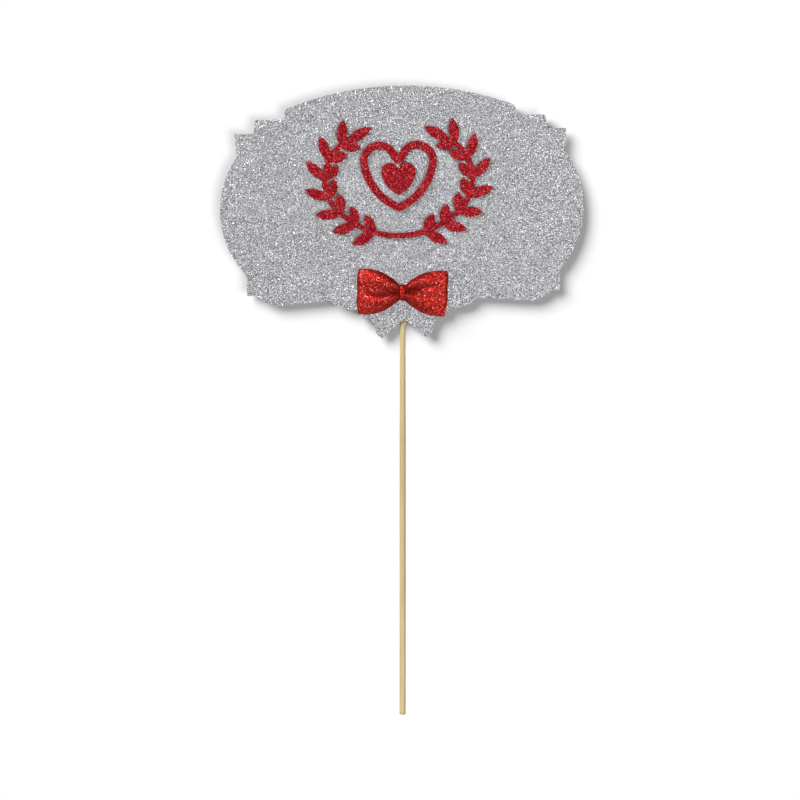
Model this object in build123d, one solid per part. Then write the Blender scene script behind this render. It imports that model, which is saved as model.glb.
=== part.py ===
from build123d import *
import math
import os

os.makedirs("parts", exist_ok=True)

# Photo booth prop sign, in millimetres. The origin is the centre of the stick's lower end,
# +Z runs up the stick and the face of the sign looks along -Y.

# Bamboo stick, straight at the hand and tapered towards the hidden end
STICK_DIAMETER = 4.0
STICK_TOP_DIAMETER = 3.1
STICK_STRAIGHT_LENGTH = 165.0
STICK_FREE_LENGTH = 250.0
STICK_GLUED_LENGTH = 50.0

# Glitter foam, the same stock for the plaque and the cut-outs
FOAM_THICKNESS = 1.8
FILM_THICKNESS = 0.2

# Place of the plaque on the stick
HEAD_LEAN = 1.1
HEAD_SIDE_SHIFT = 0.7
STICK_GLUE_LINE = 0.05

# Plaque outline, right half, heights above the notch between the tails
HALF_WIDTH = 110.0
APEX_RISE = 140.0
RISER_LEAN = 1.2
STEP_1_RISE = 6.0
STEP_1_TREAD = 16.9
STEP_2_RISE = 8.2
STEP_2_TREAD = 11.5
SIDE_INSET = 11.1
SIDE_LEAN = 1.0
SIDE_FOOT = 99.4
SIDE_RISE = 13.7
CHEEK_MIDDLE = 66.0
CHEEK_FOOT_INSET = 14.8
CHEEK_FOOT = 28.2
BLOCK_FALL = 12.5
BLOCK_TREAD = 5.4
LOBE_SPAN = 13.3
LOBE_FALL = 6.1
SCALLOP_HALF = 44.5
SCALLOP_TOP = 11.9
SCALLOP_FOOT = 6.0
SCALLOP_BULGE = 2.2
BACKING_HALF = 28.7
BACKING_FOOT = 0.6
BACKING_BULGE = 1.4
TAIL_ROOT_HALF = 21.0
TAIL_SIDE_HALF = 17.3
TAIL_SIDE_DROP = 7.8
TAIL_SIDE_HOLLOW = 0.7
TAIL_TIP_HALF = 13.4
TAIL_TIP_DROP = 11.6
TAIL_TIP_BULGE = 0.7
SHOULDER_ROUND = 2.5

# Red cut-outs: a laurel of two branches round a heart, measured from the ornament's middle
MOTIF_SIDE = -1.5
MOTIF_HEIGHT = 85.5
MOTIF_GLUE = 0.15
GLUE_DAB_MARGIN = 0.4
STEM_WIDTH = 3.2
STEM_FOOT_DROP = 35.0
STEM_LOW_RADIUS = 52.0
STEM_LOW_TURN = 46.0
STEM_SIDE_RADIUS = 26.0
STEM_SIDE_TURN = 106.0
LEAF_PAIRS = 7
LEAF_FIRST = 0.17
LEAF_LAST = 0.95
LEAF_ANGLE = 44.0
LEAF_WIDTH = 6.2
OUTER_LEAF_LENGTH = 15.5
INNER_LEAF_LENGTH = 12.0
END_LEAF_LENGTH = 17.0
HEART_WIDTH = 46.0
HEART_HEIGHT = 42.0
HEART_SHOULDER = 28.5
HEART_DIP = 8.5
HEART_LOBE_HALF = 12.4
HEART_TIP_DROP = 20.5
HEART_STROKE = 4.6
INNER_HEART_SHARE = 0.45
INNER_HEART_RISE = 10.2

# Bow: one strip folded into a flat loop and pinched, depths measured from its back plane
BOW_SIDE = -0.7
BOW_HEIGHT = 16.3
BOW_TURN = -2.6
BOW_GLUE = 0.6
BOW_HALF_LENGTH = 27.8
STRIP_HALF_WIDTH = 13.7
STRIP_THICKNESS = 1.0
STRIP_NEST_GAP = 0.3
FOLD_AXIS_DEPTH = 3.5
FOLD_EDGE_DEPTH = 6.0
FOLD_RIDGE_DEPTH = 6.6
FOLD_CREASE_DEPTH = 6.2
PINCH_HALF_HEIGHT = 3.7
PINCH_EDGE_DEPTH = 3.6
PINCH_RIDGE_DEPTH = 7.0
PINCH_CREASE_DEPTH = 5.0
RIDGE_SWELL = 1.8
RIDGE_SHARE = 0.52
CREASE_SLANT = 12.5
PLEAT_ROUND = 0.8
WING_FLARE = 2.4
WING_STATIONS = (0, 0.2, 0.45, 0.75, 1)

# Band round the pinch
BAND_WIDTH = 2.7
BAND_THICKNESS = 0.7
BAND_CLEARANCE = 0.1
BAND_CORNER = 0.3
BOW_DAB_RADIUS = 4.0

# Glue bead behind the plaque
BEAD_WIDTH = 10.0
BEAD_COVER = 0.8
BEAD_START = 7.0
BEAD_END_MARGIN = 8.0
BEAD_ROUND = 1.2

# Frame of the head: x across, y up, z out of the plaque's back towards the viewer
sheet_thickness = FOAM_THICKNESS + FILM_THICKNESS
stick_length = STICK_FREE_LENGTH + STICK_GLUED_LENGTH
stick_radius = STICK_DIAMETER / 2
taper_share = (STICK_FREE_LENGTH - STICK_STRAIGHT_LENGTH) / (stick_length - STICK_STRAIGHT_LENGTH)
seat_radius = stick_radius - taper_share * (stick_radius - STICK_TOP_DIAMETER / 2)
lean = math.radians(HEAD_LEAN)
plaque_back = Plane(
    origin=(HEAD_SIDE_SHIFT, -(seat_radius + STICK_GLUE_LINE), STICK_FREE_LENGTH),
    x_dir=(math.cos(lean), 0, math.sin(lean)),
    z_dir=(0, -1, 0),
)
plaque_face = plaque_back.offset(sheet_thickness)


def mirrored_face(right_half):
    """Closes a right half outline with its mirror image."""
    return make_face(right_half + mirror(right_half, about=Plane.YZ))


def layer(face, plane, thickness):
    """Sheet of the given outline that stands on a plane of the head."""
    return extrude(plane * face, amount=thickness)


def plaque_outline():
    """Label shape with stepped shoulders, round cheeks, lower blocks and swallow tails."""
    side = HALF_WIDTH - SIDE_INSET
    step_2 = side + SIDE_LEAN
    step_1 = step_2 - STEP_2_TREAD - RISER_LEAN
    shoulder = step_1 - STEP_1_TREAD - RISER_LEAN
    step_2_level = SIDE_FOOT + SIDE_RISE
    step_1_level = step_2_level + STEP_2_RISE
    cheek_foot = HALF_WIDTH - CHEEK_FOOT_INSET
    block_level = CHEEK_FOOT - BLOCK_FALL
    lobe_start = cheek_foot - BLOCK_TREAD
    lobe_end = lobe_start - LOBE_SPAN
    lobe_level = block_level - LOBE_FALL

    top = TangentArc((0, APEX_RISE), (shoulder, step_1_level + STEP_1_RISE), tangent=(1, 0))
    steps = Polyline(
        top @ 1,
        (step_1 - STEP_1_TREAD, step_1_level),
        (step_1, step_1_level),
        (step_2 - STEP_2_TREAD, step_2_level),
        (step_2, step_2_level),
        (side, SIDE_FOOT),
    )
    cheek = ThreePointArc(steps @ 1, (HALF_WIDTH, CHEEK_MIDDLE), (cheek_foot, CHEEK_FOOT))
    block = Polyline(cheek @ 1, (cheek_foot, block_level), (lobe_start, block_level))
    lobe = TangentArc((lobe_end, lobe_level), block @ 1, tangent=(1, 0))
    edge = Line(lobe @ 0, (SCALLOP_HALF, SCALLOP_TOP))
    scallop = SagittaArc(edge @ 1, (BACKING_HALF, SCALLOP_FOOT), SCALLOP_BULGE)
    backing = SagittaArc(scallop @ 1, (TAIL_ROOT_HALF, BACKING_FOOT), BACKING_BULGE)
    tail_side = SagittaArc(backing @ 1, (TAIL_SIDE_HALF, -TAIL_SIDE_DROP), -TAIL_SIDE_HOLLOW)
    tail_tip = SagittaArc(tail_side @ 1, (TAIL_TIP_HALF, -TAIL_TIP_DROP), TAIL_TIP_BULGE)
    notch = Line(tail_tip @ 1, (0, 0))
    face = mirrored_face(
        top + steps + cheek + block + lobe + edge + scallop + backing + tail_side + tail_tip + notch
    )
    level = (top @ 1).Y
    corners = [face.vertices().sort_by_distance((x, level, 0))[0] for x in (shoulder, -shoulder)]
    return fillet(corners, SHOULDER_ROUND)


def heart_outline():
    """Solid heart standing on its tip."""
    dip = (0, HEART_HEIGHT - HEART_DIP)
    shoulder = (HEART_WIDTH / 2, HEART_SHOULDER)
    lobe = ThreePointArc(dip, (HEART_LOBE_HALF, HEART_HEIGHT), shoulder)
    flank = TangentArc(shoulder, (0, 0), tangent=lobe % 1)
    return Pos(0, -HEART_TIP_DROP) * mirrored_face(lobe + flank)


def stem_path():
    """Spine of the right branch, from the foot of the laurel up to its end leaf."""
    low = JernArc((0, -STEM_FOOT_DROP), (1, 0), STEM_LOW_RADIUS, STEM_LOW_TURN)
    side = JernArc(low @ 1, low % 1, STEM_SIDE_RADIUS, STEM_SIDE_TURN)
    return Wire([low.edge(), side.edge()])


def leaf(stem, share, turn, length):
    """Pointed leaf that leaves the stem at a share of its length and an angle to it."""
    upper = SagittaArc((0, 0), (length, 0), LEAF_WIDTH / 2)
    lower = SagittaArc((length, 0), (0, 0), LEAF_WIDTH / 2)
    root = stem @ share
    along = stem % share
    heading = math.degrees(math.atan2(along.Y, along.X))
    return Pos(root.X, root.Y) * Rot(0, 0, heading + turn) * make_face(upper + lower)


def laurel_outline():
    """Two mirrored branches joined at the foot, each with pairs of leaves and an end leaf."""
    stem = stem_path()
    branch = make_face(offset(stem, amount=STEM_WIDTH / 2, side=Side.BOTH))
    spacing = (LEAF_LAST - LEAF_FIRST) / (LEAF_PAIRS - 1)
    for pair in range(LEAF_PAIRS):
        share = LEAF_FIRST + pair * spacing
        branch += leaf(stem, share, LEAF_ANGLE, INNER_LEAF_LENGTH)
        branch += leaf(stem, share, -LEAF_ANGLE, OUTER_LEAF_LENGTH)
    branch += leaf(stem, 1, 0, END_LEAF_LENGTH)
    return branch + mirror(branch, about=Plane.YZ)


def glue_dabs():
    """Flattened dabs under the stems, the heart ring and the inner heart."""
    stem = stem_path()
    ring_middle = offset(heart, amount=-HEART_STROKE / 2)
    places = [stem @ 0.12, stem @ 0.55, stem @ 0.95]
    flanks = [edge for edge in ring_middle.edges() if edge.center().X > HEART_STROKE]
    places += [edge @ 0.5 for edge in flanks]
    places += [Vector(-place.X, place.Y) for place in places]
    places.append(inner_heart.center())
    dab = Circle(STEM_WIDTH / 2 - GLUE_DAB_MARGIN)
    return [extrude(Pos(place.X, place.Y) * dab, amount=MOTIF_GLUE) for place in places]


def pleat_corner(before, corner, after):
    """Tangent points and middle of the round that a pleat makes at a corner."""
    to_before = (before - corner).normalized()
    to_after = (after - corner).normalized()
    start = corner + to_before * PLEAT_ROUND
    end = corner + to_after * PLEAT_ROUND
    half_angle = to_before.get_angle(to_after) / 2
    radius = PLEAT_ROUND * math.tan(math.radians(half_angle))
    reach = PLEAT_ROUND / math.cos(math.radians(half_angle)) - radius
    middle = corner + (to_before + to_after).normalized() * reach
    return start, middle, end


def strip_edge(half_height, crease, edge_depth, ridge_depth, crease_depth):
    """Cross line of the strip with two rounded ridges and the crease between them."""
    corners = [
        Vector(-half_height, edge_depth),
        Vector(crease - RIDGE_SHARE * (half_height + crease), ridge_depth),
        Vector(crease, crease_depth),
        Vector(crease + RIDGE_SHARE * (half_height - crease), ridge_depth),
        Vector(half_height, edge_depth),
    ]
    pieces = []
    last = corners[0]
    for before, corner, after in zip(corners, corners[1:], corners[2:]):
        start, middle, end = pleat_corner(before, corner, after)
        pieces += [Line(last, start), ThreePointArc(start, middle, end)]
        last = end
    return pieces + [Line(last, corners[-1])]


def strip_section(x, half_height, crease, depths):
    """Section of one layer of the strip across the bow, at a distance from its middle."""
    front = strip_edge(half_height, crease, *depths)
    back = strip_edge(half_height, crease, *[depth - STRIP_THICKNESS for depth in depths])
    ends = [Line(front[0] @ 0, back[0] @ 0), Line(front[-1] @ 1, back[-1] @ 1)]
    across = Plane(origin=(x, 0, 0), x_dir=(0, 1, 0), z_dir=(1, 0, 0))
    return across * make_face(front + back + ends)


def wing_section(share, front):
    """Section of the wing's front or back layer, at a share of the way from pinch to fold."""
    flare = 1 - (1 - share) ** WING_FLARE
    x = BAND_WIDTH / 2 + share * (fold_start - BAND_WIDTH / 2)
    half_height = PINCH_HALF_HEIGHT + flare * (STRIP_HALF_WIDTH - PINCH_HALF_HEIGHT)
    crease = math.tan(math.radians(CREASE_SLANT)) * (x - BAND_WIDTH / 2)
    swell = RIDGE_SWELL * math.sin(math.pi * share**0.75)
    pinch = (PINCH_EDGE_DEPTH, PINCH_RIDGE_DEPTH, PINCH_CREASE_DEPTH)
    fold = (FOLD_EDGE_DEPTH, FOLD_RIDGE_DEPTH, FOLD_CREASE_DEPTH)
    if front:
        depths = [a + share * (b - a) for a, b in zip(pinch, fold)]
        depths[1] += swell
    else:
        nested = [a - STRIP_THICKNESS - STRIP_NEST_GAP for a in pinch]
        turned = [2 * FOLD_AXIS_DEPTH - b + STRIP_THICKNESS for b in fold]
        depths = [a + flare * (b - a) for a, b in zip(nested, turned)]
    return strip_section(x, half_height, crease, depths)


def bow_wing():
    """Front layer, end fold and back layer of the right wing."""
    front = [wing_section(share, True) for share in WING_STATIONS]
    back = [wing_section(share, False) for share in WING_STATIONS]
    fold_axis = Axis((fold_start, 0, FOLD_AXIS_DEPTH), (0, 1, 0))
    fold = revolve(front[-1], axis=fold_axis, revolution_arc=180)
    return loft(front) + fold + loft(back)


def bow_loop():
    """Two like wings, half a turn apart, and the nested pleats that run on under the band."""
    wing = bow_wing()
    pleats = [wing_section(0, front) for front in (True, False)]
    core = [extrude(face, amount=BAND_WIDTH, dir=(-1, 0, 0)) for face in pleats]
    return wing + core[0] + core[1] + Rot(0, 0, 180) * wing


def bow_band():
    """Narrow strip round the pinch."""
    inner_height = 2 * (PINCH_HALF_HEIGHT + BAND_CLEARANCE)
    inner_depth = PINCH_RIDGE_DEPTH - band_back - BAND_THICKNESS
    middle = band_back + BAND_THICKNESS + inner_depth / 2
    across = Plane(origin=(-BAND_WIDTH / 2, 0, middle), x_dir=(0, 1, 0), z_dir=(1, 0, 0))
    outer = RectangleRounded(
        inner_height + 2 * BAND_THICKNESS, inner_depth + 2 * BAND_THICKNESS, BAND_CORNER + BAND_THICKNESS
    )
    inner = RectangleRounded(inner_height, inner_depth, BAND_CORNER)
    return extrude(across * (outer - inner), amount=BAND_WIDTH)


def bamboo_stick():
    """Round stick with plain cut ends."""
    straight = extrude(Circle(stick_radius), amount=STICK_STRAIGHT_LENGTH)
    taper_foot = Pos(0, 0, STICK_STRAIGHT_LENGTH) * Circle(stick_radius)
    taper_top = Pos(0, 0, stick_length) * Circle(STICK_TOP_DIAMETER / 2)
    return straight + loft([taper_foot, taper_top])


def stick_glue_bead():
    """Mound of glue over the stick, flat on the plaque's back and bored by the stick."""
    foot = -(seat_radius + STICK_GLUE_LINE)
    left = (-BEAD_WIDTH / 2, foot)
    right = (BEAD_WIDTH / 2, foot)
    crown = ThreePointArc(left, (0, seat_radius + BEAD_COVER), right)
    profile = make_face(crown + Line(right, left))
    length = STICK_GLUED_LENGTH - BEAD_START - BEAD_END_MARGIN
    mound = Pos(0, 0, STICK_FREE_LENGTH + BEAD_START) * extrude(profile, amount=length)
    ends = mound.edges().filter_by(GeomType.CIRCLE)
    return fillet(ends, BEAD_ROUND) - bamboo_stick()


fold_start = BOW_HALF_LENGTH - (FOLD_RIDGE_DEPTH - FOLD_AXIS_DEPTH)
band_back = PINCH_EDGE_DEPTH - 2 * STRIP_THICKNESS - STRIP_NEST_GAP - BAND_CLEARANCE - BAND_THICKNESS
bow_seat = plaque_face * Pos(BOW_SIDE, BOW_HEIGHT) * Rot(0, 0, BOW_TURN)
bow_plane = bow_seat * Pos(0, 0, BOW_GLUE)
film_back = plaque_back.offset(FOAM_THICKNESS)
motif_seat = plaque_face * Pos(MOTIF_SIDE, MOTIF_HEIGHT)
motif_back = motif_seat * Pos(0, 0, MOTIF_GLUE)
motif_film_back = motif_back * Pos(0, 0, FOAM_THICKNESS)

plaque = plaque_outline()
laurel = laurel_outline()
heart = heart_outline()
inner_heart = Pos(0, INNER_HEART_RISE) * scale(heart, by=INNER_HEART_SHARE)
hearts = heart - offset(heart, amount=-HEART_STROKE) + inner_heart

nodes = {
    "plaque_foam_sheet": layer(plaque, plaque_back, FOAM_THICKNESS),
    "plaque_glitter_film": layer(plaque, film_back, FILM_THICKNESS),
    "laurel_foam_cutout": layer(laurel, motif_back, FOAM_THICKNESS),
    "laurel_glitter_film": layer(laurel, motif_film_back, FILM_THICKNESS),
    "heart_foam_cutouts": layer(hearts, motif_back, FOAM_THICKNESS),
    "heart_glitter_films": layer(hearts, motif_film_back, FILM_THICKNESS),
    "cutout_glue_dabs": motif_seat * Compound(glue_dabs()),
    "bow_loop": bow_plane * bow_loop(),
    "bow_band": bow_plane * bow_band(),
    "bow_glue_dab": bow_seat * extrude(Circle(BOW_DAB_RADIUS), amount=BOW_GLUE + band_back),
    "bamboo_stick": bamboo_stick(),
    "stick_glue_bead": stick_glue_bead(),
}
for name, shape in nodes.items():
    export_step(shape, f"parts/{name}.step")
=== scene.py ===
import math

import bmesh
import bpy
from mathutils import Matrix, Vector, noise


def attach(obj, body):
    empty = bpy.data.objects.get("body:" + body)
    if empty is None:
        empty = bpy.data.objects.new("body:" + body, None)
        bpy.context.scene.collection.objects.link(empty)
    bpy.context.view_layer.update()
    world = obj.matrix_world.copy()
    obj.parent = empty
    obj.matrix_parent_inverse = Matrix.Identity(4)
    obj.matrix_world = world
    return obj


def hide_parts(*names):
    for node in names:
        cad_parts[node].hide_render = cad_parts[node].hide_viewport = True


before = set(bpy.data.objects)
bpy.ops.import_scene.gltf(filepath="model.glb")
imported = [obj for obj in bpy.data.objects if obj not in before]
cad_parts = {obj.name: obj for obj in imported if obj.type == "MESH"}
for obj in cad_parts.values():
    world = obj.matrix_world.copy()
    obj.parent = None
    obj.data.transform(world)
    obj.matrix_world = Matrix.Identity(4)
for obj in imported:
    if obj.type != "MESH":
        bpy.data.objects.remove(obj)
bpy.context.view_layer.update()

MM = 0.001
MERGE_DISTANCE = 0.000001
# Faces whose normal has a larger y than this aren't part of a front
FRONT_NORMAL = -0.9

# Head of the sign: leans a little on the stick, and its face looks along -Y
HEAD_LEAN = math.radians(1.1)
ACROSS = Vector((math.cos(HEAD_LEAN), 0, math.sin(HEAD_LEAN)))
UP = Vector((-math.sin(HEAD_LEAN), 0, math.cos(HEAD_LEAN)))
OUT = Vector((0, -1, 0))
STICK_SEAT = 1.7167
STICK_CLEARANCE = 0.05
PLAQUE_THICKNESS = 2.0
PLAQUE_BACK = -(STICK_SEAT + STICK_CLEARANCE)
PLAQUE_FACE = Vector((0.7, PLAQUE_BACK - PLAQUE_THICKNESS, 250.0))

# Bow strip, in millimetres in the bow's own frame; depths are those of the solid's front face
BOW_TURN = math.radians(-2.6)
BOW_CENTRE = PLAQUE_FACE + ACROSS * -0.7 + UP * 16.3 + OUT * 0.6
SOLID_THICKNESS = 1.0
STRIP_THICKNESS = 0.8
STRIP_HALF_WIDTH = 13.7
PINCH_HALF_HEIGHT = 3.7
WING_FLARE = 2.4
FOLD_AXIS_DEPTH = 3.5
FOLD_START = 24.7
PINCH_DEPTHS = (3.6, 7.0, 5.0)
FOLD_DEPTHS = (6.0, 6.6, 6.2)
NEST_STEP = 1.3
END_TUCK = 0.7
END_TUCK_POWER = 2.5
END_SKEW = 0.5
RIPPLE_DEPTH = 0.22
RIPPLE_SCALE = 0.16
RIPPLE_LAYER = {"front": 0.0, "fold": 0.0, "back": 3.0}
FRONT_STATIONS, BACK_STATIONS, FOLD_STATIONS = 72, 40, 14
STATION_EASE = 1.25
STRIP_ACROSS = 60

# Ridges and crease of the right wing (1) and the left wing (-1)
RIDGE_UPPER = {1: 0.58, -1: 0.66}
RIDGE_LOWER = {1: 0.45, -1: 0.30}
RIDGE_SWELL = 1.8
RIDGE_SWELL_EASE = 0.75
CREASE_SLOPE = {1: 0.31, -1: -0.137}
CREASE_EASE = 12.0
CREASE_DIP = 2.1
CREASE_DIP_REACH = 0.5

# Glitter left on the strip at the pinch, and rubbed off it in the crease; where it is thin the strip is
# darker, partly from wear and partly as painted shade
PINCH_GLITTER = 0.25
PINCH_GLITTER_REACH = 11.0
CREASE_WEAR_AND_SHADE = 0.7
CREASE_WEAR_AND_SHADE_WIDTH = 0.18
CREASE_WEAR_AND_SHADE_REACH = 0.45

# Band round the pinch
BAND_HALF = 1.35
BAND_HALF_HEIGHT = 4.5
BAND_LOW, BAND_HIGH = 0.5, 7.75
BAND_THICKNESS = 0.55
BAND_EDGE_MARGIN = 0.12
BAND_CROWN, BAND_WAIST, BAND_WAVE = 0.10, 0.08, 0.06
BAND_SQUARENESS = (0.6, 0.62)
BAND_GLITTER = 0.9
BAND_AROUND, BAND_ACROSS = 72, 12

# Stick and its glue
STICK_RADIUS = 2.0
STICK_TOP_RADIUS = 1.55
STICK_STRAIGHT = 165.0
STICK_LENGTH = 300.0
STICK_CHAMFER = 0.22
STICK_DRIFT = 0.03
STICK_DRIFT_SCALE = 0.02
STICK_AROUND, STICK_LEVELS = 56, 150
BEAD_LOW, BEAD_HIGH = 257.0, 292.0
BEAD_HALF_WIDTH = 5.0
BEAD_CROWN = STICK_SEAT + 0.8
BEAD_END_WIDTH = 0.25
BEAD_WIDTH_MEAN, BEAD_WIDTH_LUMPS = 0.90, 0.22
BEAD_HEIGHT_MEAN, BEAD_HEIGHT_LUMPS = 0.96, 0.10
BEAD_LUMP_ROUND, BEAD_LUMP_ALONG, BEAD_LUMP_LAYER = 1.5, 0.16, 5.0
BEAD_END_POWER, BEAD_CROWN_POWER = 5, 1.15
BEAD_ALONG, BEAD_OVER = 64, 36

# Faint flutes along the stick: depth, number round it, start, and turn to the millimetre
STICK_FLUTES = ((0.018, 9, 0.6, 0.0), (0.012, 17, 0.0, 0.004))

# Loose flakes: sizes in metres, density to the square metre, tilt in radians
PLAQUE_FLAKES = dict(flake_width=0.00049, flake_depth=0.00017, spacing=0.00076, density=2000000.0, tilt=0.32)
CUTOUT_FLAKES = dict(flake_width=0.00046, flake_depth=0.00017, spacing=0.0008, density=1800000.0, tilt=0.28)
BOW_FLAKES = dict(flake_width=0.00062, flake_depth=0.00022, spacing=0.00055, density=3500000.0, tilt=0.34)
BAND_FLAKES = dict(flake_width=0.00050, flake_depth=0.00018, spacing=0.00055, density=2500000.0, tilt=0.30)


# Node helpers

def socket_named(sockets, name):
    return next(s for s in sockets if s.enabled and s.name == name)


def add_node(tree, kind, wires=None, **settings):
    """A new node with its settings, and its inputs linked or set."""
    made = tree.nodes.new(kind)
    for name, value in settings.items():
        setattr(made, name, value)
    for name, value in (wires or {}).items():
        target = made.inputs[name] if isinstance(name, int) else socket_named(made.inputs, name)
        if isinstance(value, bpy.types.NodeSocket):
            tree.links.new(value, target)
        else:
            target.default_value = value
    return made


def result(made, name=None):
    if name is None:
        return next(s for s in made.outputs if s.enabled)
    return socket_named(made.outputs, name)


def math_node(tree, operation, *values):
    return add_node(tree, "ShaderNodeMath", dict(enumerate(values)), operation=operation).outputs[0]


def vector_node(tree, operation, *values):
    return result(add_node(tree, "ShaderNodeVectorMath", dict(enumerate(values)), operation=operation))


def scaled_vector(tree, vector, amount):
    wires = {0: vector, "Scale": amount}
    return result(add_node(tree, "ShaderNodeVectorMath", wires, operation="SCALE"))


def spread(tree, value, low, high, start=0.0, end=1.0):
    """Moves a value from the range start to end into the range low to high."""
    wires = {"Value": value, "From Min": start, "From Max": end, "To Min": low, "To Max": high}
    return result(add_node(tree, "ShaderNodeMapRange", wires))


def ramp(tree, value, stops):
    made = add_node(tree, "ShaderNodeValToRGB", {"Fac": value})
    elements = made.color_ramp.elements
    while len(elements) < len(stops):
        elements.new(0.5)
    for element, (place, colour) in zip(elements, stops):
        element.position = place
        element.color = (*colour, 1.0)
    return made.outputs["Color"]


def mix_colour(tree, share, first, second, blend="MIX"):
    wires = {0: share, 6: first, 7: second}
    return add_node(tree, "ShaderNodeMix", wires, data_type="RGBA", blend_type=blend).outputs[2]


def object_place(tree):
    return add_node(tree, "ShaderNodeTexCoord").outputs["Object"]


def piece_attribute(tree, name):
    return add_node(tree, "ShaderNodeAttribute", attribute_name=name).outputs["Fac"]


def cloud(tree, place, scale, detail):
    wires = {"Vector": place, "Scale": scale, "Detail": detail}
    return add_node(tree, "ShaderNodeTexNoise", wires).outputs["Fac"]


def cells(tree, place, scale, feature="F1"):
    wires = {"Vector": place, "Scale": scale}
    return add_node(tree, "ShaderNodeTexVoronoi", wires, feature=feature).outputs


# Finishes

# A draw over the limit gives a flake that share of another hue
FILM_RARE_LIMIT, FILM_RARE_SHARE = 0.93, 0.5
FLAKE_RARE_LIMIT, FLAKE_RARE_SHARE = 0.9, 0.6
# A loose flake's second draw is what is left after the point of its hue value times this
SECOND_DRAW = 17.0


def new_finish(name, roughness, metallic=0.0):
    material = bpy.data.materials.new(name)
    material.use_nodes = True
    tree = material.node_tree
    shader = tree.nodes["Principled BSDF"]
    shader.inputs["Roughness"].default_value = roughness
    shader.inputs["Metallic"].default_value = metallic
    return material, tree, shader


def set_gleam(shader, level, gleam):
    """Level of the plain reflection, and its tint where there is one."""
    shader.inputs["Specular IOR Level"].default_value = level
    if gleam:
        shader.inputs["Specular Tint"].default_value = (*gleam, 1.0)


def give_relief(tree, shader, height, strength, distance):
    wires = {"Height": height, "Strength": strength, "Distance": distance}
    relief = add_node(tree, "ShaderNodeBump", wires)
    tree.links.new(relief.outputs["Normal"], shader.inputs["Normal"])


def rare_hues(tree, value, hues, depth):
    """Colour of the few flakes that shine in another hue; its depth is saturation and brightness."""
    wires = {"Red": spread(tree, value, *hues), "Green": depth[0], "Blue": depth[1]}
    return add_node(tree, "ShaderNodeCombineColor", wires, mode="HSV").outputs["Color"]


def worn_and_shaded(tree, tone, worn_and_shade_tone):
    """Shows a darker tone where the glitter is thin: partly the strip's own tone where its glitter is rubbed
    off, partly painted shade in the crease and at the pinch.
    """
    wear_and_shade = spread(tree, piece_attribute(tree, "glitter_share"), 0.95, 0.0, start=0.05, end=0.9)
    return mix_colour(tree, wear_and_shade, tone, (*worn_and_shade_tone, 1.0))


def glitter_film(name, tones, grain, tilt, metallic, hues, depth, gleam=None, worn_and_shade_tone=None):
    """Film packed with cut flakes: each cell has its own tone, gloss and tilt."""
    material, tree, shader = new_finish(name, 0.4, metallic)
    set_gleam(shader, 0.15, gleam)
    place = object_place(tree)
    cell_colour = cells(tree, place, 1 / grain)["Color"]
    seam = cells(tree, place, 1 / grain, "DISTANCE_TO_EDGE")["Distance"]
    parts = add_node(tree, "ShaderNodeSeparateColor", {"Color": cell_colour}).outputs
    rare = math_node(tree, "GREATER_THAN", parts["Green"], FILM_RARE_LIMIT)
    other = rare_hues(tree, parts["Blue"], hues, depth)
    # Each cell's tone from the ramp; its brightest stops are partly painted glints
    tone = ramp(tree, parts["Red"], tones)
    tone = mix_colour(tree, math_node(tree, "MULTIPLY", rare, FILM_RARE_SHARE), tone, other)
    # Darker where the glitter is thin: partly wear, partly painted shade in the crease and at the pinch
    if worn_and_shade_tone:
        tone = worn_and_shaded(tree, tone, worn_and_shade_tone)
    gap = spread(tree, seam, 0.62, 1.0, start=0.0, end=0.12)
    drift = cloud(tree, place, scale=55.0, detail=3.0)
    level = spread(tree, drift, 0.96, 1.04, start=0.3, end=0.7)
    tone = mix_colour(tree, 1.0, tone, math_node(tree, "MULTIPLY", gap, level), "MULTIPLY")
    tree.links.new(tone, shader.inputs["Base Color"])
    tree.links.new(spread(tree, parts["Blue"], 0.22, 0.55), shader.inputs["Roughness"])
    normal = add_node(tree, "ShaderNodeNewGeometry").outputs["Normal"]
    lean = vector_node(tree, "SUBTRACT", cell_colour, (0.5, 0.5, 0.5))
    lean = scaled_vector(tree, lean, tilt)
    facet = vector_node(tree, "NORMALIZE", vector_node(tree, "ADD", normal, lean))
    tree.links.new(facet, shader.inputs["Normal"])
    return material


def loose_flakes(name, tones, metallic, hues, depth, gleam=None):
    """Larger flakes that stand out of the film, each with its own tone."""
    material, tree, shader = new_finish(name, 0.28, metallic)
    set_gleam(shader, 0.2, gleam)
    hue_value = piece_attribute(tree, "flake_hue")
    draw = math_node(tree, "FRACT", math_node(tree, "MULTIPLY", hue_value, SECOND_DRAW))
    rare = math_node(tree, "GREATER_THAN", draw, FLAKE_RARE_LIMIT)
    other = rare_hues(tree, hue_value, hues, depth)
    # Each flake's tone from the ramp; its brightest stops are partly painted glints
    tone = ramp(tree, piece_attribute(tree, "flake_tone"), tones)
    tone = mix_colour(tree, math_node(tree, "MULTIPLY", rare, FLAKE_RARE_SHARE), tone, other)
    tree.links.new(tone, shader.inputs["Base Color"])
    tree.links.new(spread(tree, hue_value, 0.16, 0.42), shader.inputs["Roughness"])
    return material


def closed_cell_foam(name, dark, light):
    """Matt foam with fine closed pores."""
    material, tree, shader = new_finish(name, 0.86)
    place = object_place(tree)
    pores = cells(tree, place, scale=3200.0)["Distance"]
    drift = cloud(tree, place, scale=420.0, detail=4.0)
    share = math_node(tree, "MULTIPLY", pores, 0.7)
    share = math_node(tree, "ADD", share, math_node(tree, "MULTIPLY", drift, 0.35))
    tree.links.new(ramp(tree, share, ((0.25, dark), (0.75, light))), shader.inputs["Base Color"])
    tree.links.new(spread(tree, drift, 0.78, 0.95), shader.inputs["Roughness"])
    give_relief(tree, shader, pores, strength=0.35, distance=0.00006)
    return material


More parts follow.
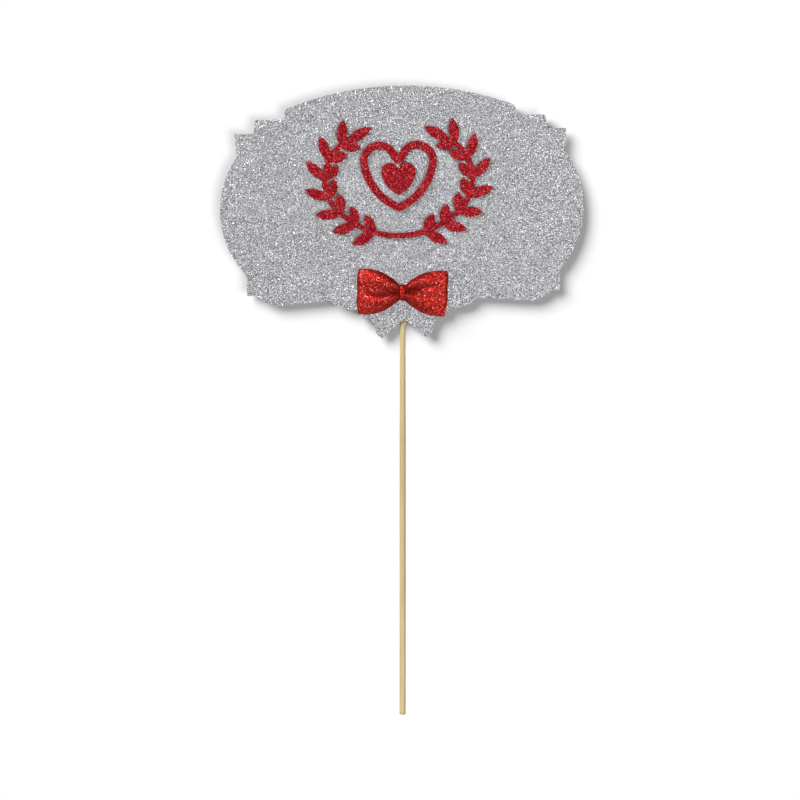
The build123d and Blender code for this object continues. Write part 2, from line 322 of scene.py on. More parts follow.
def bamboo(name):
    """Split bamboo: long fibres, thin dark strands and a faint drift of colour along the stick."""
    material, tree, shader = new_finish(name, 0.55)
    place = object_place(tree)
    long_place = vector_node(tree, "MULTIPLY", place, (1500.0, 1500.0, 14.0))
    fine_place = vector_node(tree, "MULTIPLY", place, (4200.0, 4200.0, 30.0))
    slow_place = vector_node(tree, "MULTIPLY", place, (120.0, 120.0, 9.0))
    fibre = math_node(tree, "MULTIPLY", cloud(tree, long_place, scale=1.0, detail=3.0), 0.6)
    fine_fibre = math_node(tree, "MULTIPLY", cloud(tree, fine_place, scale=1.0, detail=2.0), 0.4)
    grain = math_node(tree, "ADD", fibre, fine_fibre)
    strand = cells(tree, fine_place, scale=0.55)["Distance"]
    strand = spread(tree, strand, 0.80, 1.0, start=0.02, end=0.20)
    drift = cloud(tree, slow_place, scale=1.0, detail=2.0)
    drift = spread(tree, drift, 0.93, 1.07, start=0.3, end=0.7)
    tone = ramp(tree, grain, BAMBOO_TONES)
    tone = mix_colour(tree, 1.0, tone, math_node(tree, "MULTIPLY", strand, drift), "MULTIPLY")
    tree.links.new(tone, shader.inputs["Base Color"])
    tree.links.new(spread(tree, grain, 0.62, 0.45, start=0.3, end=0.7), shader.inputs["Roughness"])
    give_relief(tree, shader, grain, strength=0.4, distance=0.00008)
    return material


def hot_melt(name):
    """Set hot-melt glue: cloudy, waxy and a little yellow."""
    material, tree, shader = new_finish(name, 0.3)
    place = object_place(tree)
    haze = cloud(tree, place, scale=420.0, detail=4.0)
    bubbles = math_node(tree, "MULTIPLY", cells(tree, place, scale=900.0)["Distance"], 0.3)
    tree.links.new(ramp(tree, haze, GLUE_TONES), shader.inputs["Base Color"])
    tree.links.new(spread(tree, haze, 0.2, 0.42), shader.inputs["Roughness"])
    shader.inputs["Transmission Weight"].default_value = 0.2
    shader.inputs["IOR"].default_value = 1.48
    height = math_node(tree, "ADD", haze, bubbles)
    give_relief(tree, shader, height, strength=0.35, distance=0.0003)
    return material


def greys(*stops):
    """Stops of a slightly cool grey."""
    return tuple((place, tuple(level * tint for tint in GREY_TINT)) for place, level in stops)


GREY_TINT = (0.985, 0.985, 1.03)
# The brightest stops of these glitter tones, near white in the silver and pink in the reds, are partly
# painted glints set into random flakes' colour, besides their own spread of tone
SILVER_TONES = greys((0.0, 0.048), (0.2, 0.173), (0.55, 0.337), (0.82, 0.58), (1.0, 0.85))
SILVER_FLAKE_TONES = greys((0.0, 0.087), (0.4, 0.366), (0.75, 0.693), (1.0, 0.85))
CUTOUT_TONES = (
    (0.0, (0.073, 0.001, 0.002)),
    (0.3, (0.192, 0.003, 0.005)),
    (0.7, (0.303, 0.006, 0.010)),
    (0.93, (0.413, 0.030, 0.036)),
    (1.0, (0.60, 0.16, 0.175)),
)
CUTOUT_FLAKE_TONES = (
    (0.0, (0.092, 0.001, 0.003)),
    (0.6, (0.294, 0.006, 0.010)),
    (0.9, (0.45, 0.057, 0.063)),
    (1.0, (0.70, 0.27, 0.285)),
)
BOW_TONES = (
    (0.0, (0.20, 0.004, 0.003)),
    (0.3, (0.34, 0.008, 0.006)),
    (0.7, (0.43, 0.013, 0.010)),
    (0.92, (0.52, 0.036, 0.029)),
    (1.0, (0.72, 0.17, 0.14)),
)
BOW_FLAKE_TONES = (
    (0.0, (0.26, 0.004, 0.003)),
    (0.45, (0.43, 0.013, 0.010)),
    (0.8, (0.54, 0.053, 0.044)),
    (1.0, (0.78, 0.30, 0.25)),
)
# Dark tone of the strip where its glitter is thin: partly worn, partly painted shade in the crease and at
# the pinch
BOW_WORN_AND_SHADE_TONE = (0.20, 0.005, 0.004)
BAMBOO_TONES = (
    (0.30, (0.50, 0.36, 0.15)),
    (0.45, (0.62, 0.48, 0.225)),
    (0.58, (0.70, 0.57, 0.295)),
    (0.72, (0.78, 0.67, 0.40)),
)
GLUE_TONES = ((0.3, (0.70, 0.64, 0.50)), (0.7, (0.86, 0.82, 0.72)))
ALL_HUES, CRIMSON_HUES, WARM_HUES = (0.0, 1.0), (-0.03, 0.0), (-0.01, 0.03)
CRIMSON_GLEAM, WARM_GLEAM = (1.0, 0.28, 0.30), (1.0, 0.34, 0.30)

silver_film = glitter_film(
    "silver glitter film", SILVER_TONES,
    grain=0.00029, tilt=0.6, metallic=0.55, hues=ALL_HUES, depth=(0.25, 0.5),
)
silver_flake = loose_flakes(
    "silver flakes", SILVER_FLAKE_TONES, metallic=0.7, hues=ALL_HUES, depth=(0.24, 0.8)
)
silver_foam = closed_cell_foam("silver grey foam", (0.36, 0.36, 0.37), (0.50, 0.50, 0.51))
cutout_film = glitter_film(
    "red glitter film", CUTOUT_TONES,
    grain=0.00034, tilt=0.5, metallic=0.8, hues=CRIMSON_HUES, depth=(0.93, 0.5), gleam=CRIMSON_GLEAM,
)
cutout_flake = loose_flakes(
    "red flakes", CUTOUT_FLAKE_TONES,
    metallic=0.8, hues=CRIMSON_HUES, depth=(0.85, 0.7), gleam=CRIMSON_GLEAM,
)
cutout_foam = closed_cell_foam("red foam", (0.20, 0.005, 0.009), (0.30, 0.010, 0.015))
bow_film = glitter_film(
    "bow glitter strip", BOW_TONES,
    grain=0.00042, tilt=0.5, metallic=0.8, hues=WARM_HUES, depth=(0.93, 0.6), gleam=WARM_GLEAM,
    worn_and_shade_tone=BOW_WORN_AND_SHADE_TONE,
)
bow_flake = loose_flakes(
    "bow flakes", BOW_FLAKE_TONES, metallic=0.8, hues=WARM_HUES, depth=(0.75, 0.9), gleam=WARM_GLEAM
)
stick_bamboo = bamboo("split bamboo")
glue = hot_melt("set hot melt glue")


# Mesh helpers

def place_object(name, data):
    made = bpy.data.objects.new(name, data)
    bpy.context.scene.collection.objects.link(made)
    return made


def new_piece(name, points, faces, finish, smooth=True):
    mesh = bpy.data.meshes.new(name)
    mesh.from_pydata(points, [], faces)
    mesh.materials.append(finish)
    mesh.polygons.foreach_set("use_smooth", [smooth] * len(mesh.polygons))
    mesh.update()
    return place_object(name, mesh)


def faces_between(lines, rows, lines_closed=False, rows_closed=False, flipped=False):
    """Faces between neighbouring lines of points, where each line has as many points as there are rows."""
    faces = []
    for i in range(lines if lines_closed else lines - 1):
        here, after = i * rows, (i + 1) % lines * rows
        for j in range(rows if rows_closed else rows - 1):
            up = (j + 1) % rows
            face = (here + j, here + up, after + up, after + j)
            faces.append((face[0], face[3], face[2], face[1]) if flipped else face)
    return faces


def settle_modifiers(piece):
    """Turns the evaluated shape into the piece's own plain mesh."""
    depsgraph = bpy.context.evaluated_depsgraph_get()
    settled = bpy.data.meshes.new_from_object(piece.evaluated_get(depsgraph), depsgraph=depsgraph)
    old = piece.data
    piece.modifiers.clear()
    piece.data = settled
    settled.name = piece.name
    bpy.data.meshes.remove(old)
    return piece


def thicken(piece, thickness, offset):
    wall = piece.modifiers.new("thickness", "SOLIDIFY")
    wall.thickness = thickness * MM
    wall.offset = offset
    return settle_modifiers(piece)


def mark_glitter(mesh, shares):
    """Notes at each point how much of the glitter is there."""
    share = mesh.attributes.new("glitter_share", "FLOAT", "POINT")
    share.data.foreach_set("value", shares)


def dress(node_name, finish):
    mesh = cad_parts[node_name].data
    mesh.materials.clear()
    mesh.materials.append(finish)


# Loose flakes scattered over a face by a node tree

FLAKE_INPUTS = (
    ("Face", "NodeSocketGeometry", None),
    ("Flake Width", "NodeSocketFloat", 0.0005),
    ("Flake Depth", "NodeSocketFloat", 0.00025),
    ("Spacing", "NodeSocketFloat", 0.0008),
    ("Density", "NodeSocketFloat", 500000.0),
    ("Tilt", "NodeSocketFloat", 0.3),
    ("Seed", "NodeSocketInt", 1),
    ("Finish", "NodeSocketMaterial", None),
)
FLAKE_SIDES = 6
FLAKE_SINK = 0.72
FLAKE_SCALES = (0.55, 1.15)
SCALE_SEED, TONE_SEED, HUE_SEED = 11, 23, 37
SQUARE_FILL = 0.4


def random_value(tree, kind, low, high, seed):
    wires = {"Min": low, "Max": high, "Seed": seed}
    return result(add_node(tree, "FunctionNodeRandomValue", wires, data_type=kind))


def stored(tree, shape, name, value, kind, domain):
    wires = {"Geometry": shape, "Name": name, "Value": value}
    return add_node(tree, "GeometryNodeStoreNamedAttribute", wires, data_type=kind, domain=domain).outputs[0]


def recalled(tree, name, kind):
    made = add_node(tree, "GeometryNodeInputNamedAttribute", {"Name": name}, data_type=kind)
    return result(made, "Attribute")


def scattered_points(tree, given):
    """Points on the face, none nearer than the spacing, and fewer where the glitter is thin."""
    wires = {
        "Mesh": given["Face"],
        "Distance Min": given["Spacing"],
        "Density Max": given["Density"],
        "Density Factor": recalled(tree, "glitter_share", "FLOAT"),
        "Seed": given["Seed"],
    }
    return add_node(tree, "GeometryNodeDistributePointsOnFaces", wires, distribute_method="POISSON").outputs


def one_flake(tree, given, radius):
    """Six-sided flake with a blunt point below, by which it sits in the film."""
    depth = given["Flake Depth"]
    wires = {"Vertices": FLAKE_SIDES, "Radius Top": radius, "Radius Bottom": 0.0, "Depth": depth}
    flake = add_node(tree, "GeometryNodeMeshCone", wires, fill_type="NGON").outputs["Mesh"]
    sink = add_node(tree, "ShaderNodeCombineXYZ", {"Z": math_node(tree, "MULTIPLY", depth, -FLAKE_SINK)})
    wires = {"Geometry": flake, "Translation": sink.outputs[0]}
    sunk = add_node(tree, "GeometryNodeTransform", wires).outputs[0]
    place = add_node(tree, "GeometryNodeInputPosition").outputs[0]
    return stored(tree, sunk, "flake_place", place, "FLOAT_VECTOR", "POINT")


def flake_heading(tree, given, upright):
    """Turns each flake any way round, and tilts it a little off the face."""
    tilt = given["Tilt"]
    down = math_node(tree, "MULTIPLY", tilt, -1.0)
    low = add_node(tree, "ShaderNodeCombineXYZ", {"X": down, "Y": down, "Z": -math.pi}).outputs[0]
    high = add_node(tree, "ShaderNodeCombineXYZ", {"X": tilt, "Y": tilt, "Z": math.pi}).outputs[0]
    swing = random_value(tree, "FLOAT_VECTOR", low, high, given["Seed"])
    turn = add_node(tree, "FunctionNodeEulerToRotation", {"Euler": swing}).outputs[0]
    wires = {"Rotation": upright, "Rotate By": turn}
    return add_node(tree, "FunctionNodeRotateRotation", wires, rotation_space="LOCAL").outputs[0]


def on_own_square(tree, shape, count, radius):
    """Gives each flake a square of its own on the map, so that its one tone can be kept there."""
    row = math_node(tree, "CEIL", math_node(tree, "SQRT", count))
    order = recalled(tree, "flake_number", "FLOAT")
    column = math_node(tree, "FLOORED_MODULO", order, row)
    line = math_node(tree, "FLOOR", math_node(tree, "DIVIDE", order, row))
    spot = add_node(tree, "ShaderNodeSeparateXYZ", {"Vector": recalled(tree, "flake_place", "FLOAT_VECTOR")})
    reach = math_node(tree, "DIVIDE", SQUARE_FILL, radius)
    sides = {}
    for side, cell in (("X", column), ("Y", line)):
        inside = math_node(tree, "MULTIPLY", spot.outputs[side], reach)
        inside = math_node(tree, "ADD", inside, 0.5)
        sides[side] = math_node(tree, "DIVIDE", math_node(tree, "ADD", cell, inside), row)
    on_map = add_node(tree, "ShaderNodeCombineXYZ", sides).outputs[0]
    shape = stored(tree, shape, "OFBake", on_map, "FLOAT2", "CORNER")
    for name in ("flake_number", "flake_place"):
        shape = add_node(tree, "GeometryNodeRemoveAttribute", {"Geometry": shape, "Name": name}).outputs[0]
    return shape


def flake_tree():
    """Node tree that covers a face with flakes, each with its own heading, size, tone and hue."""
    tree = bpy.data.node_groups.new("glitter flakes", "GeometryNodeTree")
    for name, kind, value in FLAKE_INPUTS:
        made = tree.interface.new_socket(name=name, in_out="INPUT", socket_type=kind)
        if value is not None:
            made.default_value = value
    tree.interface.new_socket(name="Flakes", in_out="OUTPUT", socket_type="NodeSocketGeometry")
    given = add_node(tree, "NodeGroupInput").outputs
    radius = math_node(tree, "DIVIDE", given["Flake Width"], 2.0)
    points = scattered_points(tree, given)
    wires = {
        "Points": points["Points"],
        "Instance": one_flake(tree, given, radius),
        "Rotation": flake_heading(tree, given, points["Rotation"]),
        "Scale": random_value(tree, "FLOAT", *FLAKE_SCALES, SCALE_SEED),
    }
    shape = add_node(tree, "GeometryNodeInstanceOnPoints", wires).outputs[0]
    size = add_node(tree, "GeometryNodeAttributeDomainSize", {"Geometry": shape}, component="INSTANCES")
    marks = {
        "flake_tone": random_value(tree, "FLOAT", 0.0, 1.0, TONE_SEED),
        "flake_hue": random_value(tree, "FLOAT", 0.0, 1.0, HUE_SEED),
        "flake_number": add_node(tree, "GeometryNodeInputIndex").outputs[0],
    }
    for name, value in marks.items():
        shape = stored(tree, shape, name, value, "FLOAT", "INSTANCE")
    shape = add_node(tree, "GeometryNodeRealizeInstances", {"Geometry": shape}).outputs[0]
    shape = on_own_square(tree, shape, result(size, "Instance Count"), radius)
    wires = {"Geometry": shape, "Material": given["Finish"]}
    finished = add_node(tree, "GeometryNodeSetMaterial", wires).outputs[0]
    end = add_node(tree, "NodeGroupOutput")
    tree.links.new(finished, end.inputs[0])
    return tree


FLAKES = flake_tree()


def scatter_flakes(name, ground, finish, seed, sizes):
    """Sets flakes on the ground's faces and leaves them as one plain mesh."""
    values = {key.replace("_", " ").title(): value for key, value in sizes.items()}
    values["Seed"] = seed
    values["Finish"] = finish
    modifier = ground.modifiers.new("flakes", "NODES")
    modifier.node_group = FLAKES
    for item in FLAKES.interface.items_tree:
        if item.name in values:
            modifier[item.identifier] = values[item.name]
    settle_modifiers(ground)
    ground.name = ground.data.name = name
    return ground


def front_of(node_name):
    """A copy of a film's front faces, as ground for flakes."""
    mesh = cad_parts[node_name].data.copy()
    work = bmesh.new()
    work.from_mesh(mesh)
    bmesh.ops.remove_doubles(work, verts=work.verts, dist=MERGE_DISTANCE)
    work.normal_update()
    hidden = [face for face in work.faces if face.normal.y > FRONT_NORMAL]
    bmesh.ops.delete(work, geom=hidden, context="FACES")
    work.to_mesh(mesh)
    work.free()
    mark_glitter(mesh, [1.0] * len(mesh.vertices))
    return place_object(node_name + "_front", mesh)


# Bow strip

def bow_place():
    side = ACROSS * math.cos(BOW_TURN) + UP * math.sin(BOW_TURN)
    top = UP * math.cos(BOW_TURN) - ACROSS * math.sin(BOW_TURN)
    turn = Matrix((side, top, OUT)).transposed().to_4x4()
    return Matrix.Translation(BOW_CENTRE) @ turn


BOW = bow_place()


def lerp(first, second, share):
    return first + (second - first) * share


def wing_share(x):
    return max(0.0, (x - BAND_HALF) / (FOLD_START - BAND_HALF))


def wing_flare(x):
    return 1 - (1 - wing_share(x)) ** WING_FLARE


def wing_half_height(x):
    return lerp(PINCH_HALF_HEIGHT, STRIP_HALF_WIDTH, wing_flare(x))


def crease_place(side, x):
    """Where the crease runs, as a share of the half width."""
    return CREASE_SLOPE[side] * CREASE_EASE * math.tanh(x / CREASE_EASE) / wing_half_height(x)


def glitter_share(side, x, q):
    """Share of flakes left on the strip: fewer at the pinch, and fewest in the crease; where it is low the
    strip also takes a darker tone, partly painted shade.
    """
    at_pinch = min(1.0, PINCH_GLITTER + x / PINCH_GLITTER_REACH)
    off_crease = (q - crease_place(side, x)) / CREASE_WEAR_AND_SHADE_WIDTH
    in_crease = math.exp(-(off_crease**2) - (wing_share(x) / CREASE_WEAR_AND_SHADE_REACH) ** 2)
    return at_pinch * (1 - CREASE_WEAR_AND_SHADE * in_crease)


def pleat(side, x, q, depths):
    """Depth of the strip across its width: edge, ridge, crease, ridge, edge."""
    edge, ridge, crease = depths
    middle = crease_place(side, x)
    if q >= middle:
        t = (q - middle) / (1 - middle)
        crest = RIDGE_UPPER[side]
    else:
        t = (middle - q) / (1 + middle)
        crest = RIDGE_LOWER[side]
    if t < crest:
        return lerp(crease, ridge, math.sin(math.pi / 2 * t / crest))
    return lerp(edge, ridge, math.cos(math.pi / 2 * (t - crest) / (1 - crest)))


def crease_dip(share):
    """How much deeper the crease lies near the pinch."""
    return CREASE_DIP * math.exp(-((share / CREASE_DIP_REACH) ** 2))


def front_layer(side, x, q):
    share = wing_share(x)
    depths = [lerp(a, b, share) for a, b in zip(PINCH_DEPTHS, FOLD_DEPTHS)]
    depths[1] += RIDGE_SWELL * math.sin(math.pi * share**RIDGE_SWELL_EASE)
    depths[2] -= crease_dip(share)
    return pleat(side, x, q, depths) - SOLID_THICKNESS / 2


def back_layer(side, x, q):
    flare = wing_flare(x)
    nested = [a - NEST_STEP for a in PINCH_DEPTHS]
    turned = [2 * FOLD_AXIS_DEPTH - b + SOLID_THICKNESS for b in FOLD_DEPTHS]
    depths = [lerp(a, b, flare) for a, b in zip(nested, turned)]
    depths[2] -= crease_dip(wing_share(x))
    return pleat(side, x, q, depths) - SOLID_THICKNESS / 2


def strip_point(part, side, at, q):
    """Point on the middle of the strip, in the bow's frame."""
    if part == "fold":
        x = FOLD_START
        radius = front_layer(side, FOLD_START, q) - FOLD_AXIS_DEPTH
        reach = FOLD_START + radius * math.sin(at)
        depth = FOLD_AXIS_DEPTH + radius * math.cos(at)
    else:
        x = reach = at
        depth = front_layer(side, at, q) if part == "front" else back_layer(side, at, q)
    share = wing_share(x)
    reach -= END_TUCK * share**2 * abs(q) ** END_TUCK_POWER
    if side > 0:
        reach += END_SKEW * share**2 * q
    height = q * wing_half_height(x)
    spot = Vector((side * reach * RIPPLE_SCALE, height * RIPPLE_SCALE, RIPPLE_LAYER[part]))
    ripple = noise.noise(spot)
    depth += RIPPLE_DEPTH * share * ripple
    return Vector((side * reach, height, depth))


def strip_stations():
    """The strip's path, once round the flat loop."""
    def eased(count):
        return [FOLD_START * (i / count) ** STATION_EASE for i in range(count + 1)]

    front, back = eased(FRONT_STATIONS), eased(BACK_STATIONS)
    bends = [math.pi * i / FOLD_STATIONS for i in range(1, FOLD_STATIONS)]
    path = [("front", 1, x) for x in front]
    path += [("fold", 1, a) for a in bends]
    path += [("back", 1, x) for x in reversed(back)]
    path += [("back", -1, x) for x in back[1:]]
    path += [("fold", -1, a) for a in reversed(bends)]
    path += [("front", -1, x) for x in reversed(front[1:])]
    return path


def make_bow_loop():
    """The pleated strip, and a copy of its outer side as ground for flakes."""
    path = strip_stations()
    points, shares = [], []
    for part, side, at in path:
        for j in range(STRIP_ACROSS + 1):
            q = 2 * j / STRIP_ACROSS - 1
            points.append(BOW @ strip_point(part, side, at, q) * MM)
            shares.append(glitter_share(side, FOLD_START if part == "fold" else at, q))
    faces = faces_between(len(path), STRIP_ACROSS + 1, lines_closed=True, flipped=True)
    loop = new_piece("bow_strip_loop", points, faces, bow_film)
    mark_glitter(loop.data, shares)
    ground_mesh = loop.data.copy()
    for vertex, source in zip(ground_mesh.vertices, loop.data.vertices):
        vertex.co = source.co + source.normal * (STRIP_THICKNESS / 2 * MM)
    ground = place_object("bow_flakes", ground_mesh)
    return thicken(loop, STRIP_THICKNESS, 0.0), ground


def make_bow_band():
    """Narrow strip round the pinch, crowned across its width, and a copy of it as ground for flakes."""
    middle, deep = (BAND_LOW + BAND_HIGH) / 2, (BAND_HIGH - BAND_LOW) / 2
    points = []
    for k in range(BAND_AROUND):
        a = 2 * math.pi * k / BAND_AROUND
        c, s = math.cos(a), math.sin(a)
        v = BAND_HALF_HEIGHT * math.copysign(abs(c) ** BAND_SQUARENESS[0], c)
        d = deep * math.copysign(abs(s) ** BAND_SQUARENESS[1], s)
        for j in range(BAND_ACROSS + 1):
            w = 2 * j / BAND_ACROSS - 1
            crown = 1 - BAND_CROWN * w * w
            wave = BAND_WAVE * math.sin(3 * a + 4 * w)
            x = w * (BAND_HALF - BAND_EDGE_MARGIN + BAND_WAIST * math.cos(2 * a)) + wave
            points.append(BOW @ Vector((x, v * crown, middle + d * crown)) * MM)
    faces = faces_between(BAND_AROUND, BAND_ACROSS + 1, lines_closed=True)
    band = new_piece("bow_band_strip", points, faces, bow_film)
    mark_glitter(band.data, [BAND_GLITTER] * len(points))
    ground = place_object("band_flakes", band.data.copy())
    return thicken(band, BAND_THICKNESS, -1.0), ground


# Stick and glue

def stick_radius(z):
    if z <= STICK_STRAIGHT:
        return STICK_RADIUS
    return lerp(STICK_RADIUS, STICK_TOP_RADIUS, (z - STICK_STRAIGHT) / (STICK_LENGTH - STICK_STRAIGHT))


def stick_flute(a, z):
    """Height of the flutes at an angle round the stick and a level along it."""
    return sum(depth * math.sin(count * a + start + turn * z) for depth, count, start, turn in STICK_FLUTES)


def make_stick():
    """Round split-bamboo stick with faint flutes along its fibres and broken edges at its cut ends."""
    inner = STICK_LENGTH - 2 * STICK_CHAMFER
    levels = [STICK_CHAMFER + inner * i / STICK_LEVELS for i in range(STICK_LEVELS + 1)]
    levels = [0.0, *levels, STICK_LENGTH]
    points = []
    for z in levels:
        base = stick_radius(z)
        if z in (0.0, STICK_LENGTH):
            base -= STICK_CHAMFER
        for k in range(STICK_AROUND):
            a = 2 * math.pi * k / STICK_AROUND
            drift = STICK_DRIFT * noise.noise(Vector((math.cos(a), math.sin(a), z * STICK_DRIFT_SCALE)))
            r = base + stick_flute(a, z) + drift - STICK_DRIFT
            points.append(Vector((r * math.cos(a), r * math.sin(a), z)) * MM)
    faces = faces_between(len(levels), STICK_AROUND, rows_closed=True)
    top = (len(levels) - 1) * STICK_AROUND
    faces.append(tuple(reversed(range(STICK_AROUND))))
    faces.append(tuple(range(top, top + STICK_AROUND)))
    stick = new_piece("bamboo_stick_fibres", points, faces, stick_bamboo)
    for face in stick.data.polygons[-2:]:
        face.use_smooth = False
    return stick


def make_glue_bead():
    """Uneven ridge of glue that buries the stick on the plaque's back."""
    middle, half = (BEAD_LOW + BEAD_HIGH) / 2, (BEAD_HIGH - BEAD_LOW) / 2
    points = []
    for i in range(BEAD_ALONG + 1):
        t = -math.cos(math.pi * i / BEAD_ALONG)
        z = middle + half * t
        end = max(0.0, 1 - abs(t) ** BEAD_END_POWER) ** 0.5
        for k in range(BEAD_OVER + 1):
            a = math.pi * k / BEAD_OVER
            spot = Vector((math.cos(a) * BEAD_LUMP_ROUND, z * BEAD_LUMP_ALONG, BEAD_LUMP_LAYER))
            lump = noise.noise(spot)
            wide = BEAD_HALF_WIDTH * lerp(BEAD_END_WIDTH, 1.0, end)
            wide *= BEAD_WIDTH_MEAN + BEAD_WIDTH_LUMPS * lump
            tall = (BEAD_CROWN - PLAQUE_BACK) * end
            tall *= BEAD_HEIGHT_MEAN + BEAD_HEIGHT_LUMPS * lump
            x = wide * math.cos(a)
            y = PLAQUE_BACK + tall * math.sin(a) ** BEAD_CROWN_POWER
            points.append(Vector((x, y, z)) * MM)
    faces = faces_between(BEAD_ALONG + 1, BEAD_OVER + 1, rows_closed=True)
    bead = new_piece("stick_glue_ridge", points, faces, glue)
    work = bmesh.new()
    work.from_mesh(bead.data)
    bmesh.ops.remove_doubles(work, verts=work.verts, dist=MERGE_DISTANCE)
    bmesh.ops.holes_fill(work, edges=[edge for edge in work.edges if edge.is_boundary])
    bmesh.ops.recalc_face_normals(work, faces=work.faces)
    work.to_mesh(bead.data)
    work.free()
    return bead


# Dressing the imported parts, and the pieces that stand for some of them

for node_name, finish in {
    "plaque_foam_sheet": silver_foam,
    "plaque_glitter_film": silver_film,
    "laurel_foam_cutout": cutout_foam,
    "laurel_glitter_film": cutout_film,
    "heart_foam_cutouts": cutout_foam,
    "heart_glitter_films": cutout_film,
    "cutout_glue_dabs": glue,
    "bow_loop": bow_film,
    "bow_band": bow_film,
    "bow_glue_dab": glue,
    "bamboo_stick": stick_bamboo,
    "stick_glue_bead": glue,
}.items():
    dress(node_name, finish)

bow_strip, bow_ground = make_bow_loop()
bow_wrap, band_ground = make_bow_band()
stick = make_stick()
bead = make_glue_bead()

plaque_front = front_of("plaque_glitter_film")
plaque_flakes = scatter_flakes("plaque_flakes", plaque_front, silver_flake, 3, PLAQUE_FLAKES)
laurel_front = front_of("laurel_glitter_film")
laurel_flakes = scatter_flakes("laurel_flakes", laurel_front, cutout_flake, 5, CUTOUT_FLAKES)
heart_fronts = front_of("heart_glitter_films")
heart_flakes = scatter_flakes("heart_flakes", heart_fronts, cutout_flake, 7, CUTOUT_FLAKES)
bow_flakes = scatter_flakes("bow_flakes", bow_ground, bow_flake, 9, BOW_FLAKES)
band_flakes = scatter_flakes("band_flakes", band_ground, bow_flake, 13, BAND_FLAKES)

for piece, slot in (
    (bow_strip, "bow_strip"),
    (bow_wrap, "bow_strip"),
    (bow_flakes, "bow_strip"),
    (band_flakes, "bow_strip"),
    (stick, "bamboo"),
    (bead, "hot_melt"),
    (plaque_flakes, "silver_glitter"),
    (laurel_flakes, "red_glitter"),
    (heart_flakes, "red_glitter"),
):
    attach(piece, "root")
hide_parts("bow_loop")
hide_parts("bow_band")
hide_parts("bamboo_stick")
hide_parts("stick_glue_bead")


# Stage, light and camera, in metres and degrees

BACKDROP_Y, BACKDROP_LOW, BACKDROP_HIGH, BACKDROP_HALF = 0.0049, -0.3, 0.9, 0.6
PAPER_WHITE, PAPER_LIFT = 0.985, 0.01
# Oval of paper that the sign hides from the front, where a painted glow makes the shadow paler
HIDDEN_CENTRE, HIDDEN_REACH, HIDDEN_PAINTED_LIGHT = (0.0, BACKDROP_Y, 0.322), (0.104, 1.0, 0.058), 0.2
MIRRORED_ROOM, ROOM_LIGHT = 0.56, 0.04
# Lights: name, the way the light goes, its width in degrees and its strength
FRONT_LIGHTS = (("key", (0.72, 1.0, -0.72), 36.0, 3.09), ("low fill", (-0.54, 1.0, 0.36), 32.0, 1.05))
BACK_LIGHTS = (
    ("back fill right", (-0.7, -1.0, -0.4), 100.0, 2.1),
    ("back fill left", (0.7, -1.0, -0.4), 100.0, 1.1),
)
CAMERA_PLACE = (-0.00168, -0.99237, 0.32290)
CAMERA_PITCH = 82.92
CAMERA_SENSOR, CAMERA_LENS = 36.0, 73.05


def white_paper(name):
    """White paper that takes a shadow, a paler one where the sign hides it from painted light that glows
    there, and is clear from behind.
    """
    material = bpy.data.materials.new(name)
    material.use_nodes = True
    tree = material.node_tree
    tree.nodes.clear()
    path = add_node(tree, "ShaderNodeLightPath").outputs
    seen = math_node(tree, "MAXIMUM", path["Is Camera Ray"], path["Is Glossy Ray"])
    seen = math_node(tree, "MAXIMUM", seen, path["Is Transmission Ray"])
    place = vector_node(tree, "SUBTRACT", object_place(tree), HIDDEN_CENTRE)
    off_centre = vector_node(tree, "LENGTH", vector_node(tree, "DIVIDE", place, HIDDEN_REACH))
    # Painted light: the paper glows more in the oval that the sign hides, which pales its shadow there
    lift_and_painted_light = spread(tree, off_centre, HIDDEN_PAINTED_LIGHT, PAPER_LIFT, start=0.7, end=1.0)
    matt = add_node(tree, "ShaderNodeBsdfDiffuse", {"Color": (PAPER_WHITE, PAPER_WHITE, PAPER_WHITE, 1.0)})
    glow = add_node(tree, "ShaderNodeEmission", {"Strength": math_node(tree, "MULTIPLY", seen, lift_and_painted_light)})
    both = add_node(tree, "ShaderNodeAddShader", {0: matt.outputs[0], 1: glow.outputs[0]})
    clear = add_node(tree, "ShaderNodeBsdfTransparent")
    behind = add_node(tree, "ShaderNodeNewGeometry").outputs["Backfacing"]
    shown = add_node(tree, "ShaderNodeMixShader", {0: behind, 1: both.outputs[0], 2: clear.outputs[0]})
    end = add_node(tree, "ShaderNodeOutputMaterial")
    tree.links.new(shown.outputs[0], end.inputs["Surface"])
    return material


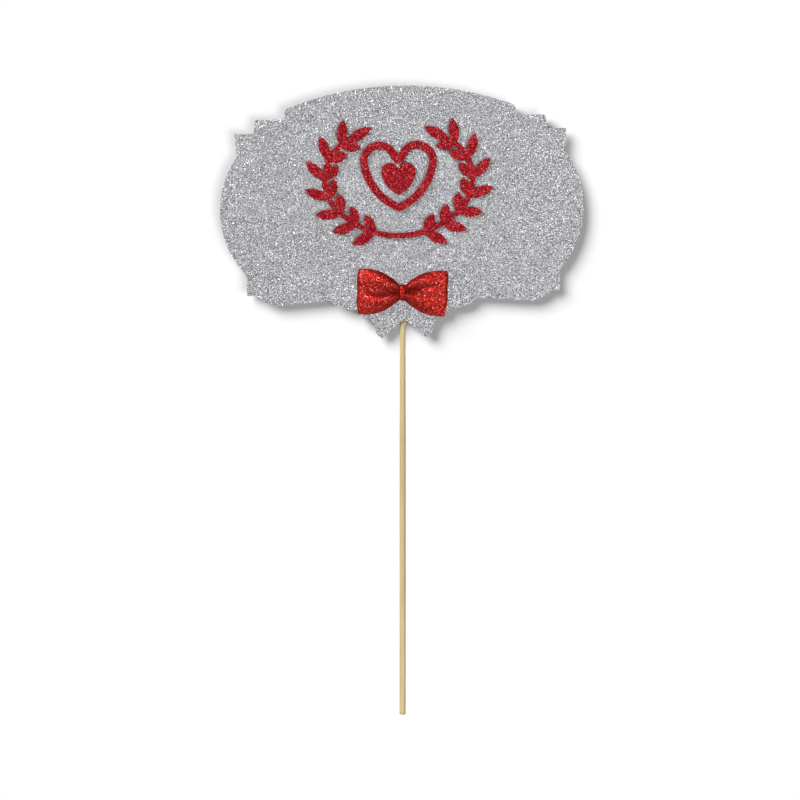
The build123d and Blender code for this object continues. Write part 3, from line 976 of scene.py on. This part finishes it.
def make_backdrop():
    corners = (
        (-BACKDROP_HALF, BACKDROP_LOW),
        (BACKDROP_HALF, BACKDROP_LOW),
        (BACKDROP_HALF, BACKDROP_HIGH),
        (-BACKDROP_HALF, BACKDROP_HIGH),
    )
    points = [Vector((x, BACKDROP_Y, z)) for x, z in corners]
    made = new_piece("backdrop", points, [(0, 1, 2, 3)], white_paper("white paper"), smooth=False)
    made.visible_diffuse = made.visible_shadow = False
    return made


def wide_light(name, towards, spread_angle, strength):
    """Even light from a wide patch of the room, so its level is the same all over the sign."""
    data = bpy.data.lights.new(name, "SUN")
    data.angle = math.radians(spread_angle)
    data.energy = strength
    lamp = place_object(name, data)
    lamp.rotation_euler = Vector(towards).to_track_quat("-Z", "Y").to_euler()
    return lamp


def white_room(name):
    """Room that looks white, and that gloss mirrors at a lower level."""
    world = bpy.data.worlds.new(name)
    world.use_nodes = True
    tree = world.node_tree
    path = add_node(tree, "ShaderNodeLightPath").outputs
    seen = math_node(tree, "MAXIMUM", path["Is Camera Ray"], path["Is Transmission Ray"])
    mirrored = math_node(tree, "MULTIPLY", path["Is Glossy Ray"], MIRRORED_ROOM)
    level = math_node(tree, "MAXIMUM", math_node(tree, "MAXIMUM", seen, mirrored), ROOM_LIGHT)
    background = tree.nodes["Background"]
    background.inputs["Color"].default_value = (1.0, 1.0, 1.0, 1.0)
    tree.links.new(level, background.inputs["Strength"])
    return world


def front_camera():
    data = bpy.data.cameras.new("camera")
    data.sensor_width = CAMERA_SENSOR
    data.lens = CAMERA_LENS
    made = place_object("camera", data)
    made.location = CAMERA_PLACE
    made.rotation_euler = (math.radians(CAMERA_PITCH), 0.0, 0.0)
    return made


make_backdrop()
stick.visible_shadow = False
# The silver round the bow mirrors the bright room and not the bow
for piece in (bow_strip, bow_flakes, bow_wrap, band_flakes):
    piece.visible_glossy = False
# The strip casts no shadow, so the silver below the bow has only its flakes' and band's faint one
bow_strip.visible_shadow = False

for light in FRONT_LIGHTS:
    wide_light(*light)
# The two lamps behind light the back alone, and send nothing on to the paper
for light in BACK_LIGHTS:
    back_fill = wide_light(*light)
    back_fill.data.cycles.max_bounces = 0
    back_fill.data.cycles.use_multiple_importance_sampling = False

bpy.context.scene.world = white_room("white room")
bpy.context.scene.camera = front_camera()
bpy.context.scene.view_settings.view_transform = "Standard"
